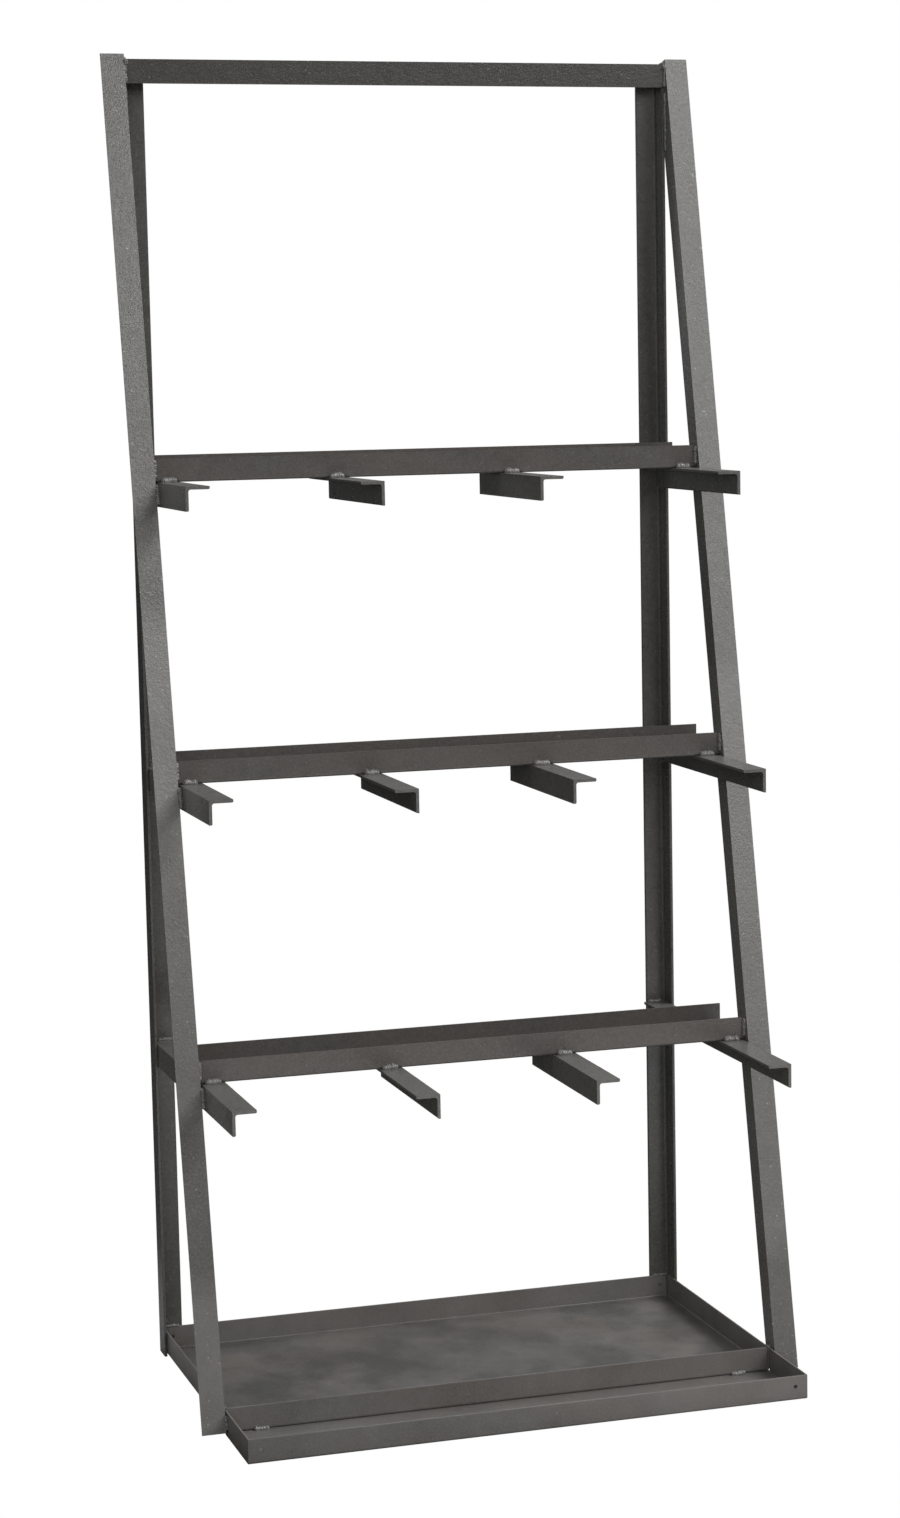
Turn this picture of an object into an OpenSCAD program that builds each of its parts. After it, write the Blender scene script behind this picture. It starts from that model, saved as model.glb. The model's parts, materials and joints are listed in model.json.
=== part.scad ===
// Vertical bar stock rack: a welded steel frame that holds long bars and tubes standing up.
// Two leaning front uprights and two vertical rear uprights carry three cross pans, with
// divider arms that part the stock into three bays, over a base tray and a front tray.
// Millimetres. +X is to the right, +Y is to the back and +Z is up. The origin is on the floor
// at the middle of the footprint.

/* [Frame] */
// Height of the front uprights above the floor
rack_h = 2134; // [1800:1:2300]
// Clear width between the front uprights
inside_w = 914.4; // [860:0.1:1000]
// Depth from the front uprights' feet to the back of the rack
rack_d = 495; // [480:1:520]
// Angle by which the front uprights lean back
lean = 12; // [11.5:0.1:12.3]

/* [Steel angle] */
// Width of each leg of the angle
leg = 38.1; // [30:0.1:42]
// Thickness of the angle
angle_t = 4.8; // [3:0.1:6]
// Radius of the rounded toes of the angle
toe_r = 2.2; // [1:0.1:2.6]
// Radius of the fillet inside the angle
root_r = 3.5; // [2:0.1:6]

/* [Cross pans] */
// Height of the underside of the upper, middle and lower cross pans
pan_z = [1460, 991, 531.5];
// Depth of a cross pan from front to back
pan_d = 114; // [90:1:130]
// Height of the front lip of a cross pan
pan_lip = 37; // [25:0.5:45]
// Height of the rear lip of a cross pan
pan_rear_lip = 40; // [25:0.5:50]
// Thickness of a cross pan's sheet
pan_t = 3; // [2:0.1:4]
// Distance from the uprights' front faces back to a cross pan's front lip
pan_recess = 15.5; // [13:0.5:20]

/* [Divider arms] */
// Length of an arm in front of its cross pan
arm_reach = 210; // [150:1:240]
// Outer faces of the left and right dividers on the upper, middle and lower cross pans
divider_x = [[-138, 116], [-122, 129], [-126.5, 127]];

/* [Trays] */
// Thickness of the trays' sheet
sheet_t = 2; // [1.5:0.1:3]
// Height of the trays' folded lips
tray_lip = 39.5; // [30:0.5:50]
// Outer radius of the folds of the trays and the cross pans
fold_r = 4; // [4:0.5:8]
// Distance that the front tray stands in front of the uprights' feet
front_tray_d = 136; // [100:1:160]
// Distance from the uprights' feet back to the base tray's front lip
base_inset = 18.5; // [12:0.5:24]
// Length of the front tray's floor that is tucked under the base tray
tuck = 25; // [10:1:40]
// Gap between the front tray's ends and the uprights
front_tray_gap = 2.5; // [1:0.1:4]

/* [Holes] */
// Radius of the fixing holes in the trays' lips
hole_r = 3.2; // [2:0.1:4]
// Distance of the base tray's holes from its inner corners
hole_inset = 14; // [12:0.5:20]
// Distance of the front tray's holes from its inner corners
front_hole_inset = 18; // [12:0.5:24]
// Distance of the holes below the top of the lips
hole_drop = 17.5; // [14:0.5:20]

/* [Hidden] */
ROWS = ["upper", "middle", "lower"];
SIDES = ["left", "right"];
HAND = [-1, 1];
$fn = 48;

// Front-to-back places
front_y = -(front_tray_d + rack_d) / 2;
foot_y = front_y + front_tray_d;
rear_y = foot_y + rack_d;
rear_in_y = rear_y - angle_t;
seam_y = rear_y - leg;
bar_y = seam_y - angle_t;
base_y = foot_y + base_inset;
// Side-to-side places, measured out from the middle
in_x = inside_w / 2;
side_x = in_x - angle_t;
tray_end_x = in_x - front_tray_gap;
// Heights
foot_z = leg * sin(lean);
upright_l = (rack_h - foot_z) / cos(lean);
bar_top_z = rack_h - 8;
bar_low_z = bar_top_z - leg;
lip_top_z = sheet_t + tray_lip;
// Sizes of the weld beads
small_bead = 3;
bead = 5;
big_bead = 7;
arc_steps = 4;

// Height-dependent place of the front uprights' front faces
function face_y(z) = foot_y + (z - foot_z) * tan(lean);
// Front face of the cross pan in row i
function pan_y(i) = face_y(pan_z[i]) + pan_recess;
// Points along an arc of radius r around c, from angle a to angle b
function arc(c, r, a, b) =
    [for (k = [0 : arc_steps]) let (t = a + (b - a) * k / arc_steps) c + r * [cos(t), sin(t)]];

steel = [0.42, 0.42, 0.41];
sheet = [0.33, 0.32, 0.31];
bead_grey = [0.48, 0.48, 0.47];

// Mirrors its right-hand children for the left side
module on_side(hand) {
    if (hand > 0) children();
    else mirror([1, 0, 0]) children();
}

// Section of the steel angle: outer corner at the origin, legs along +X and +Y
module angle_section() {
    polygon(concat(
        [[0, 0], [leg, 0]],
        arc([leg - toe_r, angle_t - toe_r], toe_r, 0, 90),
        arc([angle_t + root_r, angle_t + root_r], root_r, 270, 180),
        arc([angle_t - toe_r, leg - toe_r], toe_r, 0, 90),
        [[0, leg]]
    ));
}

// Section of a folded channel: floor along +X from the origin and a lip along +Y at each end
module channel_section(depth, lip, far_lip, t, r) {
    polygon(concat(
        [[0, lip]],
        arc([r, r], r, 180, 270),
        arc([depth - r, r], r, 270, 360),
        [[depth, far_lip], [depth - t, far_lip]],
        arc([depth - r, r], r - t, 360, 270),
        arc([r, r], r - t, 270, 180),
        [[t, lip]]
    ));
}

// Section of a floor along +X with one lip along +Y at the origin
module lip_section(depth, lip, t, r) {
    polygon(concat(
        [[0, lip]],
        arc([r, r], r, 180, 270),
        [[depth, 0], [depth, t]],
        arc([r, r], r - t, 270, 180),
        [[t, lip]]
    ));
}

// Extrudes a section along X: the section's X becomes +Y and its Y becomes +Z
module along_x(length) {
    rotate([90, 0, 90]) linear_extrude(length) children();
}

// Triangular weld bead along +Z, with its two faces on the XZ and YZ planes
module fillet(length, size) {
    linear_extrude(length) polygon([[0, 0], [size, 0], [0, size]]);
}

// Weld bead along X on top of a plate and in front of an upright plate at y
module cross_fillet(x, y, z, length, size) {
    translate([x - length / 2, y, z]) along_x(length) polygon([[0, 0], [-size, 0], [0, size]]);
}

// Leaning angle, front leg turned outwards and side leg to the back, cut square at both ends
module front_upright(hand) {
    color(steel) on_side(hand)
        translate([in_x, foot_y, foot_z]) rotate([-lean, 0, 0])
            linear_extrude(upright_l) angle_section();
}

// Vertical angle with its outer corner at the back
module rear_upright(hand) {
    color(steel) on_side(hand)
        translate([in_x, rear_y, 0]) rotate([0, 0, 180])
            linear_extrude(bar_top_z - angle_t) angle_section();
}

// Angle across the top between the front uprights: its upper leg lies on the rear uprights
// and its front leg hangs down before their side legs
module top_bar() {
    color(steel) translate([-in_x, bar_y, bar_top_z])
        along_x(inside_w) mirror([0, 1, 0]) angle_section();
}

// Folded channel across the front, with its lips up
module cross_pan(i) {
    color(sheet) translate([-in_x, pan_y(i), pan_z[i]])
        along_x(inside_w) channel_section(pan_d, pan_lip, pan_rear_lip, pan_t, fold_r);
}

// Angle along Y under a cross pan: corner at x, one leg down and one leg towards hand
module arm(x, hand, row, back_y) {
    tip_y = pan_y(row) - arm_reach;
    translate([x, back_y, pan_z[row]]) on_side(hand) rotate([90, 0, 0])
        linear_extrude(back_y - tip_y) mirror([0, 1, 0]) angle_section();
}

// Long outer arm, from its tip under the cross pan to the rear upright
module side_arm(row, hand) {
    color(steel) arm(hand * side_x, -hand, row, rear_in_y);
}

// Short inner arm, from its tip to the back of the cross pan
module divider_arm(row, k) {
    color(steel) arm(divider_x[row][k], HAND[k], row, pan_y(row) + pan_d);
}

// Folded tray between the rear uprights, open at the corners of its lips
module base_tray() {
    depth = rear_in_y - base_y;
    color(sheet) difference() {
        union() {
            translate([fold_r - side_x, base_y, sheet_t])
                along_x(2 * (side_x - fold_r))
                    channel_section(depth, tray_lip, tray_lip, sheet_t, fold_r);
            for (hand = HAND) on_side(hand)
                translate([side_x, rear_in_y, sheet_t]) rotate([90, 0, 0])
                    linear_extrude(depth) mirror([1, 0, 0])
                        lip_section(fold_r, tray_lip, sheet_t, fold_r);
        }
        for (hand = HAND)
            translate([hand * (side_x - sheet_t - hole_inset), rear_in_y + 1, lip_top_z - hole_drop])
                rotate([90, 0, 0]) cylinder(h = sheet_t + 2, r = hole_r);
    }
}

// Floor and front lip of the shallow tray in front of the uprights
module front_tray() {
    half_w = tray_end_x - sheet_t;
    color(sheet) difference() {
        translate([-half_w, front_y, 0]) along_x(2 * half_w)
            lip_section(front_tray_d + base_inset + tuck, tray_lip, sheet_t, fold_r);
        for (hand = HAND)
            translate([hand * (half_w - front_hole_inset), front_y - 1, tray_lip - hole_drop])
                rotate([-90, 0, 0]) cylinder(h = sheet_t + 2, r = hole_r);
    }
}

// End plate of the front tray, rounded like the fold that it closes
module front_tray_end(hand) {
    length = base_y - front_y;
    color(sheet) on_side(hand) translate([tray_end_x - sheet_t, front_y, 0])
        along_x(sheet_t) polygon(concat(
            [[0, tray_lip]],
            arc([fold_r, fold_r], fold_r, 180, 270),
            [[length, 0], [length, tray_lip]]
        ));
}

// Beads at both ends of the top bar and down the joint of the front and rear uprights
module weld_top() {
    seam_low_z = face_y_height(seam_y - leg);
    color(bead_grey) for (hand = HAND) on_side(hand) {
        translate([in_x, bar_y, bar_low_z + 1]) rotate([0, 0, 180]) fillet(leg - 2, small_bead);
        translate([in_x, seam_y, seam_low_z + 20]) rotate([0, 0, 180])
            fillet(bar_low_z - seam_low_z - 30, angle_t - 1);
        translate([in_x, bar_y + 22, bar_top_z]) mirror([1, 0, 0]) rotate([90, 0, 0])
            fillet(20, small_bead);
    }
}

// Height at which the front uprights' front faces reach y
function face_y_height(y) = foot_z + (y - foot_y) / tan(lean);

// Beads that hold one cross pan and its arms
module weld_row(i) {
    arm_mid = leg / 2;
    arms = [
        -side_x + arm_mid,
        divider_x[i][0] - arm_mid,
        divider_x[i][1] + arm_mid,
        side_x - arm_mid
    ];
    color(bead_grey) {
        for (x = arms) cross_fillet(x, pan_y(i), pan_z[i], leg - 8, big_bead);
        for (hand = HAND) on_side(hand) {
            translate([in_x, pan_y(i), pan_z[i] + fold_r]) rotate([0, 0, 180])
                fillet(pan_lip - fold_r - 1, bead);
            translate([side_x, face_y(pan_z[i] - leg) + 3, pan_z[i] - leg + 4])
                rotate([-lean, 0, 0]) cube([angle_t, 4, leg - 10]);
        }
    }
}

// Beads where the side arms meet the rear uprights
module weld_rear() {
    color(bead_grey) for (z = pan_z) for (hand = HAND) on_side(hand)
        cross_fillet(side_x - leg / 2 - angle_t, rear_in_y, z, leg - 14, bead);
}

// Beads that hold the trays to each other and to the four uprights
module weld_base() {
    tack_l = 24;
    tack_x = in_x - 60;
    color(bead_grey) for (hand = HAND) on_side(hand) {
        cross_fillet(side_x - leg / 2, rear_in_y, lip_top_z, leg - 8, 1.5 * sheet_t);
        cross_fillet(tack_x, base_y, sheet_t, tack_l, bead);
        translate([side_x, base_y + 1, lip_top_z - 8]) cube([angle_t, 14, angle_t]);
        translate([tray_end_x, face_y(foot_z) + 4, foot_z + 2]) rotate([-lean, 0, 0])
            cube([front_tray_gap, 4, tray_lip - foot_z - 6]);
    }
}

for (k = [0, 1]) {
    front_upright(HAND[k]);
    rear_upright(HAND[k]);
    front_tray_end(HAND[k]);
}
for (i = [0 : 2]) {
    cross_pan(i);
    weld_row(i);
    for (k = [0, 1]) {
        side_arm(i, HAND[k]);
        divider_arm(i, k);
    }
}
top_bar();
base_tray();
front_tray();
weld_top();
weld_rear();
weld_base();
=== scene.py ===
"""Looks of the welded bar stock rack: powder-coat materials, rippled weld beads, floor, lights and camera."""

import json
import math
import random

import bmesh
import bpy
from mathutils import Matrix, Vector, noise


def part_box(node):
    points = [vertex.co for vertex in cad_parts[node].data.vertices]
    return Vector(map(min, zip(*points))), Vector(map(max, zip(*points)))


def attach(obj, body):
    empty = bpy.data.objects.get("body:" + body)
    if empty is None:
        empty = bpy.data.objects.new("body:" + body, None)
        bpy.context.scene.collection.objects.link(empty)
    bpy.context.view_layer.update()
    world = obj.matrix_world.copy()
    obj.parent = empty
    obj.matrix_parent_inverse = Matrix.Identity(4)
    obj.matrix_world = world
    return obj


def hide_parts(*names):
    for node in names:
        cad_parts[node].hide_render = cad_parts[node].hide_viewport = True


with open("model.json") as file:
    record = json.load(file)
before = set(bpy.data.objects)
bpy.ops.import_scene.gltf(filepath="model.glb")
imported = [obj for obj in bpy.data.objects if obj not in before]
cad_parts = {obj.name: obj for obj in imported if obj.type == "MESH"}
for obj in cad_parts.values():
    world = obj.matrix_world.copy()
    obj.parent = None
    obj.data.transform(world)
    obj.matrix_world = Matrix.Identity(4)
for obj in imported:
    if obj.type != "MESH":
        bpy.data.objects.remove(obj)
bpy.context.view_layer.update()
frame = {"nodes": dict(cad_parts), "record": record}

BODY = "root"
ROWS = ("upper", "middle", "lower")
SIDES = ("left", "right")
HAND = {"left": -1.0, "right": 1.0}

# Camera, from a fit to the photo: place in metres, angles in degrees, and focal length for a film
# height of 36 mm
CAMERA_AT = Vector((-1.5421, -5.0863, 1.6447))
CAMERA_YAW = 17.654
CAMERA_PITCH = 7.716
CAMERA_ROLL = -1.004
CAMERA_LENS = 79.57
CAMERA_SHIFT = (-0.0395, 0.0355)

# Stage: radius of the floor, its pale parts in front and to the left of the rack (middle, where the
# paleness starts to fade and where it ends, grey), the grey of the rest, and the dim light from all round
FLOOR_R = 5.0
PALE_PARTS = (
    ((0.6, -2.32, 0.0), 1.6, 2.3, 0.80),
    ((-1.25, 0.25, 0.0), 0.55, 1.0, 0.52),
)
DARK_GREY = 0.03
AMBIENT = 0.008

# Lights, far away on a sphere round the rack: azimuth (to the right of the front), elevation,
# width and height in degrees, and brightness. The brightnesses began as a fit to the photo's tones,
# and were then rounded, merged and mostly changed
LIGHT_R = 14.0
LIGHT_AIM = Vector((0.0, 0.0, 1.0))
LIGHTS = {
    "key": (13.0, 28.0, 13.0, 8.0, 8.2),
    "key_low": (24.0, 19.0, 16.0, 10.0, 4.4),
    "key_high": (26.0, 37.0, 13.0, 10.0, 7.8),
    "key_side": (39.0, 26.0, 13.0, 24.0, 4.0),
    "front_fill": (-25.0, 16.0, 30.0, 30.0, 3.4),
    "right_window": (65.0, 48.0, 30.0, 25.0, 8.0),
    "right_fill": (92.0, 38.0, 35.0, 28.0, 5.5),
    "left_skylight": (-80.0, 60.0, 35.0, 25.0, 2.7),
    "rear_fill": (152.0, 15.0, 28.0, 28.0, 0.22),
    "rear_key": (190.0, 48.0, 35.0, 25.0, 3.0),
    "rear_horizon": (210.0, 8.0, 28.0, 12.0, 0.7),
}


# ---------------------------------------------------------------- materials


class Shader:
    """A material with small helpers that add and link its nodes."""

    def __init__(self, name):
        self.material = bpy.data.materials.new(name)
        self.material.use_nodes = True
        self.tree = self.material.node_tree
        self.bsdf = self.tree.nodes["Principled BSDF"]
        where = self.add("ShaderNodeTexCoord")
        self.place, self.facing = where.outputs["Object"], where.outputs["Normal"]

    def add(self, kind, **values):
        node = self.tree.nodes.new(kind)
        for key, value in values.items():
            setattr(node, key, value)
        return node

    def link(self, out, into):
        self.tree.links.new(out, into)

    def upward(self, vector):
        """The vertical component of a vector."""
        node = self.add("ShaderNodeSeparateXYZ")
        self.link(vector, node.inputs["Vector"])
        return node.outputs["Z"]

    def stretched(self, scale):
        """The object coordinates, scaled differently along each axis."""
        node = self.add("ShaderNodeMapping")
        node.inputs["Scale"].default_value = scale
        self.link(self.place, node.inputs["Vector"])
        return node.outputs["Vector"]

    def noise(self, scale, detail=3.0, rough=0.5, vector=None):
        node = self.add("ShaderNodeTexNoise")
        node.inputs["Scale"].default_value = scale
        node.inputs["Detail"].default_value = detail
        node.inputs["Roughness"].default_value = rough
        self.link(vector or self.place, node.inputs["Vector"])
        return node.outputs["Fac"]

    def ramp(self, value, low, high, to_low=0.0, to_high=1.0):
        node = self.add("ShaderNodeMapRange")
        for key, number in (("From Min", low), ("From Max", high), ("To Min", to_low), ("To Max", to_high)):
            node.inputs[key].default_value = number
        self.link(value, node.inputs["Value"])
        return node.outputs["Result"]

    def bands(self, value, parts, soft):
        """The sum of bands: parts holds (from, to, level) of each, and soft is how far each fades."""
        total = 0.0
        for low, high, level in parts:
            rise = self.ramp(value, low - soft, low, 0.0, level)
            fall = self.ramp(value, high, high + soft, 1.0, 0.0)
            total = self.math("ADD", total, self.math("MULTIPLY", rise, fall))
        return total

    def mix(self, fac, a, b):
        node = self.add("ShaderNodeMix", data_type="RGBA")
        for value, socket in ((fac, node.inputs[0]), (a, node.inputs[6]), (b, node.inputs[7])):
            if hasattr(value, "is_output"):
                self.link(value, socket)
            elif isinstance(value, tuple):
                socket.default_value = (*value, 1.0)
            else:
                socket.default_value = value
        return node.outputs[2]

    def math(self, operation, a, b):
        node = self.add("ShaderNodeMath", operation=operation)
        for value, socket in ((a, node.inputs[0]), (b, node.inputs[1])):
            if hasattr(value, "is_output"):
                self.link(value, socket)
            else:
                socket.default_value = value
        return node.outputs[0]

    def bump(self, height, strength, distance, normal=None):
        node = self.add("ShaderNodeBump")
        node.inputs["Strength"].default_value = strength
        node.inputs["Distance"].default_value = distance
        self.link(height, node.inputs["Height"])
        if normal is not None:
            self.link(normal, node.inputs["Normal"])
        return node.outputs["Normal"]


# How much paler the coat is where it is scuffed and grainy and where light is painted on it (bands of painted
# light, painted highlights along lip tops, and the painted soft reflections in the scuffs), and the colour of
# the specks in it
PALER = 1.9
SPECK = (0.42, 0.42, 0.41)

# Bands of painted light on the front uprights: pale where light falls, mostly just above the arms, and left
# at the coat's own tone where the arms' shadows fall: from and to height in metres, and paleness; and how far
# each band fades
LIT_BANDS = {
    "left": ((0.0, 0.20, 0.60), (0.50, 0.90, 0.38), (0.94, 1.22, 0.85)),
    "right": ((0.0, 0.20, 0.25), (0.24, 1.10, 0.52)),
}
FADE = 0.06

# Colour of the painted shade on the base tray's floor, which stands in for the shadows of the stored
# bars that are left out, and how upright a normal has to be for it to begin and to be full
SHADE_COLOUR = (0.040, 0.042, 0.040)
FLAT = (0.80, 0.97)

# How far below its top a lip begins to carry a painted highlight along its top edge
LIT_RIM_DEPTH = 0.0016


def powder_coat(
    name, light, dark, tint, roughness,
    tinted=0.35, scuffs_and_sheen=0.0, peel=1.0, specked=0.55, lit_bands=(), floor_shade=0.0, rim=0.0
):
    """Satin powder coat with an orange peel.

    light and dark are the greys of its mottle, and tint the colour of the clouds in it. tinted,
    scuffs_and_sheen, peel, specked and floor_shade are the strengths of the clouds, the pale scuffs
    (partly painted soft reflections), the orange peel, the specks and the painted shade on level
    surfaces. lit_bands gives the bands of painted light, and rim the height of the lips that carry a
    painted highlight along their top.
    """
    s = Shader(name)
    pale = tuple(PALER * c for c in light)
    mottle = s.ramp(s.noise(62.0, 5.0, 0.72), 0.30, 0.70)
    colour = s.mix(mottle, dark, light)
    clouds = s.ramp(s.noise(4.2, 3.0, 0.55, s.stretched((1.0, 1.0, 2.5))), 0.40, 0.62)
    colour = s.mix(s.math("MULTIPLY", clouds, tinted), colour, tint)
    # Pale scuffs: real wear, and also painted soft reflections on the trays' floors
    if scuffs_and_sheen:
        streaks = s.ramp(s.noise(4.6, 4.0, 0.58, s.stretched((1.0, 1.9, 1.0))), 0.36, 0.64)
        colour = s.mix(s.math("MULTIPLY", streaks, scuffs_and_sheen), colour, pale)
    # Pale bands of painted light on the front uprights, with gaps where the arms' shadows fall
    if lit_bands:
        painted_light = s.bands(s.upward(s.place), lit_bands, FADE)
        patches = s.ramp(s.noise(14.0), 0.2, 0.7, 0.7, 1.0)
        colour = s.mix(s.math("MULTIPLY", painted_light, patches), colour, pale)
    # Painted shade on level surfaces, in cloudy patches, for the shadows of the stored bars
    if floor_shade:
        painted_shade = s.ramp(s.upward(s.facing), *FLAT, 0.0, floor_shade)
        patches = s.ramp(s.noise(7.0, 4.0, 0.6, s.stretched((1.0, 0.8, 1.0))), 0.42, 0.60, 0.10, 1.0)
        colour = s.mix(s.math("MULTIPLY", painted_shade, patches), colour, SHADE_COLOUR)
    # Painted highlight: a paler strip along the top edge of each lip
    if rim:
        painted_light = s.ramp(s.upward(s.place), rim - LIT_RIM_DEPTH, rim - 0.5 * LIT_RIM_DEPTH, 0.0, 0.75)
        patches = s.ramp(s.noise(9.0), 0.3, 0.6, 0.45, 1.0)
        colour = s.mix(s.math("MULTIPLY", painted_light, patches), colour, pale)
    grain = s.ramp(s.noise(330.0, 2.0, 0.5), 0.42, 0.72, 0.0, 0.30)
    colour = s.mix(grain, colour, pale)
    specks = s.ramp(s.noise(240.0, 1.0, 0.4), 0.735, 0.775, 0.0, specked)
    colour = s.mix(specks, colour, SPECK)
    s.link(colour, s.bsdf.inputs["Base Color"])
    rough = s.ramp(s.noise(44.0, 4.0, 0.6), 0.3, 0.7, roughness - 0.02, roughness + 0.04)
    s.link(rough, s.bsdf.inputs["Roughness"])
    fine = s.bump(s.noise(430.0, 2.0, 0.45), 0.30 * peel, 0.0006)
    pebbled = s.bump(s.noise(190.0, 2.0, 0.5), 0.22 * peel, 0.0010, fine)
    waves = s.bump(s.noise(45.0, 2.0, 0.5), 0.06, 0.0020, pebbled)
    s.link(waves, s.bsdf.inputs["Normal"])
    s.bsdf.inputs["Metallic"].default_value = 0.0
    s.bsdf.inputs["Specular IOR Level"].default_value = 0.5
    return s.material


MATERIALS = {
    "frame_angle": powder_coat(
        "frame_coat", (0.074, 0.072, 0.069), (0.055, 0.053, 0.051), (0.073, 0.067, 0.062), 0.27,
        peel=0.4, specked=0.22
    ),
    "arm_angle": powder_coat(
        "arm_coat", (0.104, 0.102, 0.097), (0.077, 0.075, 0.071), (0.098, 0.092, 0.086), 0.28, specked=0.3
    ),
    # The pan and tray coats' strong warm clouds are partly their own tone and partly painted warm light
    # bounced between the sheets
    "cross_pan_sheet": powder_coat(
        "pan_coat", (0.075, 0.071, 0.067), (0.056, 0.052, 0.049), (0.077, 0.065, 0.058), 0.30,
        tinted=0.75, peel=0.6, specked=0.18
    ),
    "tray_sheet": powder_coat(
        "tray_coat", (0.099, 0.096, 0.092), (0.076, 0.073, 0.069), (0.103, 0.089, 0.080), 0.31,
        tinted=0.8, scuffs_and_sheen=0.34, peel=0.6, specked=0.12, rim=0.0395
    ),
    # The bead coat is paler than the frame's: a painted highlight for the glints on the lumpy beads
    "weld_bead": powder_coat(
        "bead_coat", (0.132, 0.130, 0.126), (0.092, 0.090, 0.087), (0.118, 0.111, 0.104), 0.24, peel=0.8
    ),
}

# Pieces whose tone differs from the rest of their slot: the front uprights carry painted light, the base
# tray's floor carries painted shade in cloudy patches, and the top bar is darker. Whether coat or light
# makes the top bar darker can't be told, and it is given to the coat here
OWN_COAT = {
    # The base tray's warm clouds are partly painted bounce light too
    "base_tray": powder_coat(
        "base_coat", (0.100, 0.096, 0.092), (0.077, 0.073, 0.069), (0.106, 0.090, 0.081), 0.31,
        tinted=0.8, scuffs_and_sheen=0.42, peel=0.6, specked=0.12, floor_shade=0.80, rim=0.0415
    ),
    "top_bar": powder_coat(
        "bar_coat", (0.050, 0.049, 0.046), (0.038, 0.036, 0.034), (0.050, 0.045, 0.042), 0.23,
        peel=0.8, specked=0.2
    ),
}
# The front uprights' coat is a paler copy of the frame coat: painted light for the extra light that their
# backward lean catches from above
for side in SIDES:
    OWN_COAT["front_upright_" + side] = powder_coat(
        "upright_coat_" + side, (0.088, 0.086, 0.082), (0.066, 0.064, 0.061), (0.086, 0.079, 0.073), 0.26,
        peel=1.15, lit_bands=LIT_BANDS[side]
    )

# Rounding of the cut edges: rolled steel angle and folded sheet; and the least turn between two
# faces for their edge to be rounded
EDGE = {"frame_angle": 0.0013, "arm_angle": 0.0008, "cross_pan_sheet": 0.0006, "tray_sheet": 0.0007}
SHARP = math.radians(40.0)


def dress_cad_nodes():
    """Gives every carried-over steel node its coat and a small rounding of its cut edges."""
    for part in frame["record"]["subparts"]:
        node = frame["nodes"][part["node"]]
        node.data.materials.clear()
        node.data.materials.append(OWN_COAT.get(part["node"], MATERIALS[part["material_slot"]]))
        if part["material_slot"] not in EDGE:
            continue
        bevel = node.modifiers.new("edge", "BEVEL")
        bevel.width = EDGE[part["material_slot"]]
        bevel.segments = 3
        bevel.limit_method = "ANGLE"
        bevel.angle_limit = SHARP
        bevel.harden_normals = True


dress_cad_nodes()


# ---------------------------------------------------------------- weld beads

# Length of one ripple, distance and number of sides of the rings, and how far a bead is sunk into
# its plates
RIPPLE = 0.0026
RING_STEP = 0.0006
RING_SIDES = 14
SUNK = 0.0008

# Radius at the foot of a ripple and its growth to the ripple's top, and how far the middle of a bead
# stands out of its corner, all as parts of the bead's radius
RIDGE = (0.90, 0.14)
PROUD = 0.30

# Slow swelling, sideways wobble and lumps of a bead: how often each metre, and how strong
SWELL = (170.0, 0.30)
WOBBLE = (90.0, 0.25)
LUMPS = (380.0, 0.22)

# Radii of the beads
BEAD = {
    "bar_end": 0.0032, "bar_top": 0.0050, "bar_foot": 0.0046, "bar_seam": 0.0030,
    "arm_root": 0.0066, "arm_side": 0.0045, "pan_end": 0.0044, "arm_rear": 0.0040,
    "tray_rear": 0.0030, "tray_tack": 0.0052, "tray_corner": 0.0036, "tray_cap": 0.0032,
}
# Smallest and largest radius of a drop of spatter
DROP = (0.0004, 0.0010)

UP, FRONT = Vector((0, 0, 1)), Vector((0, -1, 0))
dice = random.Random(7)


def ring_radius(along, length, radius, seed):
    """Radius of a weld bead: stacked ripples, slow swelling and round ends."""
    ripple = RIDGE[0] + RIDGE[1] * (1.0 - (along / RIPPLE) % 1.0)
    swell = 1.0 + SWELL[1] * noise.noise(Vector((along * SWELL[0], seed, 0.0)))
    to_end = min(along, length - along) / radius
    taper = math.sqrt(max(0.0, 1.0 - (1.0 - min(1.0, to_end)) ** 2))
    return radius * ripple * swell * max(0.05, taper)


def add_bead(bm, start, end, side_a, side_b, radius, seed):
    """A rippled bead from start to end in a corner whose open side lies along side_a and side_b.

    It is sunk only a little into the two plates, so that it does not show on their far sides.
    """
    start, end = Vector(start), Vector(end)
    axis = (end - start).normalized()
    length = (end - start).length
    out = (side_a + side_b).normalized()
    across = axis.cross(out)
    count = max(6, int(length / RING_STEP))
    rings = []
    for k in range(count + 1):
        along = length * k / count
        size = ring_radius(along, length, radius, seed)
        wobble = noise.noise(Vector((along * WOBBLE[0], seed, 7.0))) * WOBBLE[1] * radius
        root = start + axis * along
        centre = root + out * (PROUD * radius) + across * wobble
        ring = []
        for j in range(RING_SIDES):
            turn = 2.0 * math.pi * j / RING_SIDES
            spoke = (out * math.cos(turn) + across * math.sin(turn)) * size
            lump = 1.0 + LUMPS[1] * noise.noise((centre + spoke) * LUMPS[0] + Vector((seed, 0.0, 0.0)))
            place = centre + spoke * lump
            for side in (side_a, side_b):
                place += side * max(0.0, -SUNK - (place - root).dot(side))
            ring.append(bm.verts.new(place))
        rings.append(ring)
    for a, b in zip(rings, rings[1:]):
        for j in range(RING_SIDES):
            bm.faces.new((a[j], a[(j + 1) % RING_SIDES], b[(j + 1) % RING_SIDES], b[j]))
    bm.faces.new(list(reversed(rings[0])))
    bm.faces.new(rings[-1])


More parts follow.
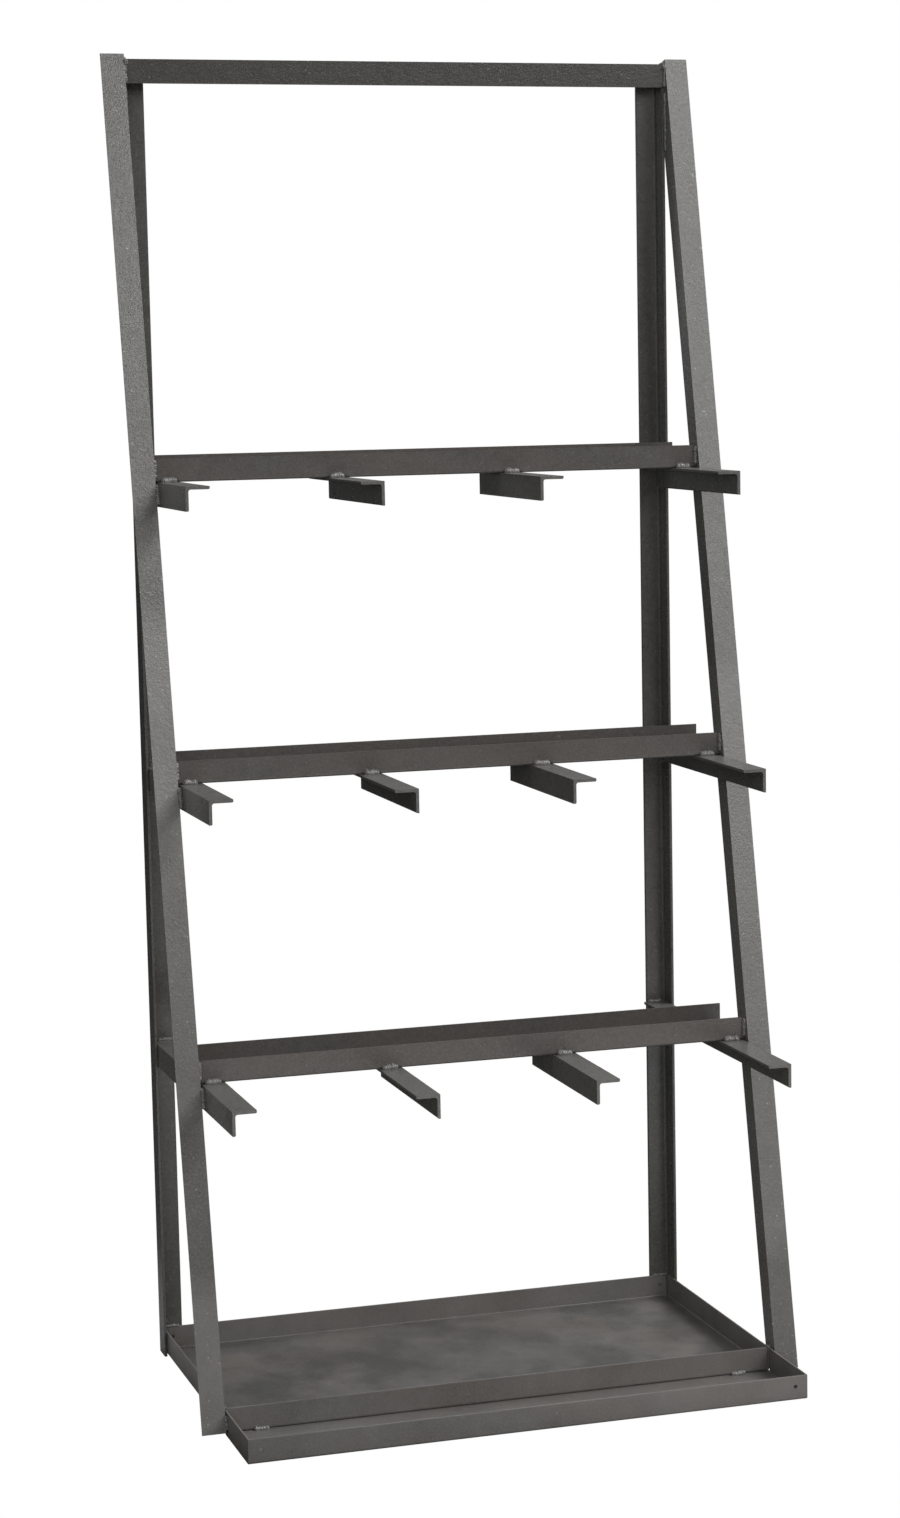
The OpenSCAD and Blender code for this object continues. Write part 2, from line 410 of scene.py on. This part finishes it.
def add_spatter(bm, corner, along, across, count):
    """Small round drops of weld metal, thrown over the flat patch that along and across span."""
    for _ in range(count):
        place = Vector(corner) + Vector(along) * dice.random() + Vector(across) * dice.random() ** 1.6
        drop = bmesh.ops.create_icosphere(bm, subdivisions=2, radius=dice.uniform(*DROP))
        bmesh.ops.translate(bm, verts=drop["verts"], vec=place)


def weld_piece(node, beads, spatter):
    """One object for a CAD weld node. beads: (start, end, side_a, side_b, radius)."""
    bm = bmesh.new()
    for seed, bead in enumerate(beads):
        add_bead(bm, *bead, seed * 3.7 + len(node))
    for patch in spatter:
        add_spatter(bm, *patch)
    bmesh.ops.recalc_face_normals(bm, faces=bm.faces)
    mesh = bpy.data.meshes.new(node + "_beads")
    bm.to_mesh(mesh)
    bm.free()
    mesh.polygons.foreach_set("use_smooth", [True] * len(mesh.polygons))
    mesh.materials.append(MATERIALS["weld_bead"])
    piece = bpy.data.objects.new(node + "_beads", mesh)
    bpy.context.scene.collection.objects.link(piece)
    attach(piece, BODY)
    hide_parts(node)


def inner_x(side):
    """The inner face of a front upright, with its sign."""
    low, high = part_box("front_upright_" + side)
    return high.x if side == "left" else low.x


def upright_lean():
    """The angle by which the front uprights lean back, worked out from their box."""
    low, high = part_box("front_upright_right")
    leg, run = high.x - low.x, high.y - low.y
    lean = math.atan2(run, high.z)
    for _ in range(8):
        lean = math.atan2(run - leg * math.cos(lean), high.z - leg * math.sin(lean))
    return lean


LEAN = upright_lean()


def face_y(z):
    """The front faces of the leaning front uprights at height z."""
    low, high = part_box("front_upright_right")
    return low.y + (z - (high.x - low.x) * math.sin(LEAN)) * math.tan(LEAN)


def weld_top():
    """The top bar's ends, its joints to the front uprights, and the seam below it."""
    bar_low, bar_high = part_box("top_bar")
    y, top, foot = bar_low.y, bar_high.z, bar_low.z
    corner, lap = 0.011, 0.022
    seam_from, seam_to = foot - 0.008, foot - 0.105
    speckled = foot - 0.060
    beads, spatter = [], []
    for side in SIDES:
        hand, x = HAND[side], inner_x(side)
        inward = Vector((-hand, 0, 0))
        beads.append(((x, y, top - 0.001), (x, y, foot + 0.001), inward, FRONT, BEAD["bar_end"]))
        beads.append(((x, y, top), (x, y, top - corner), inward, FRONT, BEAD["bar_top"]))
        beads.append(((x, y, foot + corner), (x, y, foot), inward, FRONT, BEAD["bar_foot"]))
        beads.append(((x, y, seam_from), (x, y, seam_to), inward, FRONT, BEAD["bar_seam"]))
        beads.append(((x, y + 0.001, top), (x, y + lap, top), inward, UP, BEAD["bar_end"]))
        climb = Vector((0.0, face_y(top) - face_y(speckled), top - speckled))
        spatter.append(((x + hand * 0.006, face_y(speckled), speckled), (hand * 0.022, 0.0, 0.0), climb, 5))
    weld_piece("weld_top", beads, spatter)


def weld_row(row):
    """A cross pan's ends and the roots of its four arms."""
    pan_low, pan_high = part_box("cross_pan_" + row)
    y, z = pan_low.y, pan_low.z
    set_back = 0.0022
    beads, spatter = [], []
    for kind in ("side_arm_", "divider_arm_"):
        for side in SIDES:
            low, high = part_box(kind + row + "_" + side)
            middle = (low.x + high.x) / 2.0 + dice.uniform(-0.002, 0.002)
            half = dice.uniform(0.0125, 0.0145)
            beads.append(((middle - half, y, z), (middle + half, y, z), FRONT, UP, BEAD["arm_root"]))
            spatter.append(((low.x + 0.003, y, z + 0.010), (0.032, 0.0, 0.0), (0.0, 0.0, 0.022), 4))
            spatter.append(((low.x + 0.003, y - 0.011, z), (0.032, 0.0, 0.0), (0.0, -0.035, 0.0), 5))
    for side in SIDES:
        hand, x = HAND[side], inner_x(side)
        inward = Vector((-hand, 0, 0))
        beads.append(((x, y, z + 0.005), (x, y, pan_high.z - 0.004), inward, FRONT, BEAD["pan_end"]))
        low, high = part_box("side_arm_" + row + "_" + side)
        gap = (x + (high.x if side == "right" else low.x)) / 2.0
        start = (gap, face_y(low.z) + set_back, low.z + 0.003)
        end = (gap, face_y(high.z) + set_back, high.z - 0.002)
        beads.append((start, end, FRONT, FRONT, BEAD["arm_side"]))
    weld_piece("weld_" + row, beads, spatter)


def weld_rear():
    """The long side arms where they meet the rear uprights."""
    margin = 0.006
    beads, spatter = [], []
    for row in ROWS:
        for side in SIDES:
            low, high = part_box("side_arm_" + row + "_" + side)
            start, end = (low.x + margin, high.y, high.z), (high.x - margin, high.y, high.z)
            beads.append((start, end, FRONT, UP, BEAD["arm_rear"]))
            spatter.append(((low.x + margin, high.y, high.z + 0.008), (0.026, 0.0, 0.0), (0.0, 0.0, 0.02), 3))
    weld_piece("weld_rear", beads, spatter)


def weld_base():
    """The trays to each other, to the rear uprights and to the front uprights' feet."""
    tray_low, tray_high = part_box("base_tray")
    end_low, end_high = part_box("front_tray_end_right")
    sheet = end_high.x - end_low.x
    margin, tack_in, tack_half = 0.005, 0.060, 0.013
    cap_from, cap_to = 0.012, 0.034
    beads, spatter = [], []
    for side in SIDES:
        hand, x = HAND[side], inner_x(side)
        post_low, post_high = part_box("rear_upright_" + side)
        y, z = tray_high.y, tray_high.z
        start, end = (post_low.x + margin, y, z), (post_high.x - margin, y, z)
        beads.append((start, end, FRONT, UP, BEAD["tray_rear"]))
        tack, y, z = x - hand * tack_in, tray_low.y, sheet
        start, end = (tack - tack_half, y, z), (tack + tack_half, y, z)
        beads.append((start, end, FRONT, UP, BEAD["tray_tack"]))
        spatter.append(((tack - 0.020, y - 0.008, z), (0.04, 0.0, 0.0), (0.0, -0.03, 0.0), 5))
        gap, rim = (x + hand * tray_high.x) / 2.0, tray_high.z - 0.004
        beads.append(((gap, y + 0.001, rim), (gap, y + 0.015, rim), UP, UP, BEAD["tray_corner"]))
        cap = (x + hand * end_high.x) / 2.0
        start, end = (cap, face_y(cap_from) + 0.001, cap_from), (cap, face_y(cap_to) + 0.001, cap_to)
        beads.append((start, end, FRONT, FRONT, BEAD["tray_cap"]))
    weld_piece("weld_base", beads, spatter)


weld_top()
for row in ROWS:
    weld_row(row)
weld_rear()
weld_base()


# ---------------------------------------------------------------- stage, lights, camera


def add_floor():
    """A floor that only throws light back at the rack: pale in front and at the left, dark elsewhere."""
    bpy.ops.mesh.primitive_circle_add(vertices=96, radius=FLOOR_R, fill_type="NGON")
    floor = bpy.context.object
    floor.name = "floor"
    floor.visible_camera = False
    s = Shader("floor_grey")
    grey = (DARK_GREY,) * 3
    for middle, fade, end, level in PALE_PARTS:
        distance = s.add("ShaderNodeVectorMath", operation="DISTANCE")
        s.link(s.place, distance.inputs[0])
        distance.inputs[1].default_value = middle
        inside = s.ramp(distance.outputs["Value"], fade, end, 1.0, 0.0)
        grey = s.mix(inside, grey, (level,) * 3)
    patchy = s.ramp(s.noise(3.0), 0.3, 0.7, 0.0, 0.06)
    s.link(s.mix(patchy, grey, (0.0, 0.0, 0.0)), s.bsdf.inputs["Base Color"])
    s.bsdf.inputs["Roughness"].default_value = 0.9
    s.bsdf.inputs["Specular IOR Level"].default_value = 0.0
    floor.data.materials.append(s.material)


def add_softbox(name, azimuth, elevation, width, height, radiance):
    """A rectangular light on the sphere of lights; its angles are in degrees."""
    turn, lift = math.radians(azimuth), math.radians(elevation)
    ray = Vector((math.sin(turn) * math.cos(lift), -math.cos(turn) * math.cos(lift), math.sin(lift)))
    light = bpy.data.lights.new(name, "AREA")
    light.shape = "RECTANGLE"
    light.size = 2.0 * LIGHT_R * math.tan(math.radians(width / 2.0))
    light.size_y = 2.0 * LIGHT_R * math.tan(math.radians(height / 2.0))
    light.energy = radiance * math.pi * light.size * light.size_y
    lamp = bpy.data.objects.new(name, light)
    lamp.location = LIGHT_AIM + LIGHT_R * ray
    lamp.rotation_euler = (-ray).to_track_quat("-Z", "Y").to_euler()
    lamp.visible_camera = False
    bpy.context.scene.collection.objects.link(lamp)


def add_world():
    """A white backdrop that gives only a dim, even light."""
    world = bpy.data.worlds.new("studio")
    world.use_nodes = True
    tree = world.node_tree
    shade = tree.nodes["Background"]
    shade.inputs["Color"].default_value = (1.0, 1.0, 1.0, 1.0)
    path = tree.nodes.new("ShaderNodeLightPath")
    level = tree.nodes.new("ShaderNodeMapRange")
    level.inputs["To Min"].default_value = AMBIENT
    level.inputs["To Max"].default_value = 1.0
    tree.links.new(path.outputs["Is Camera Ray"], level.inputs["Value"])
    tree.links.new(level.outputs["Result"], shade.inputs["Strength"])
    bpy.context.scene.world = world


def add_camera():
    data = bpy.data.cameras.new("camera")
    data.lens = CAMERA_LENS
    data.sensor_width = 36.0
    data.shift_x, data.shift_y = CAMERA_SHIFT
    camera = bpy.data.objects.new("camera", data)
    turn = (
        Matrix.Rotation(math.radians(-CAMERA_YAW), 4, "Z")
        @ Matrix.Rotation(math.radians(90.0 - CAMERA_PITCH), 4, "X")
        @ Matrix.Rotation(math.radians(CAMERA_ROLL), 4, "Z")
    )
    camera.matrix_world = Matrix.Translation(CAMERA_AT) @ turn
    bpy.context.scene.collection.objects.link(camera)
    bpy.context.scene.camera = camera


add_floor()
add_world()
for name, panel in LIGHTS.items():
    add_softbox(name, *panel)
bpy.context.scene.view_settings.view_transform = "Standard"
add_camera()
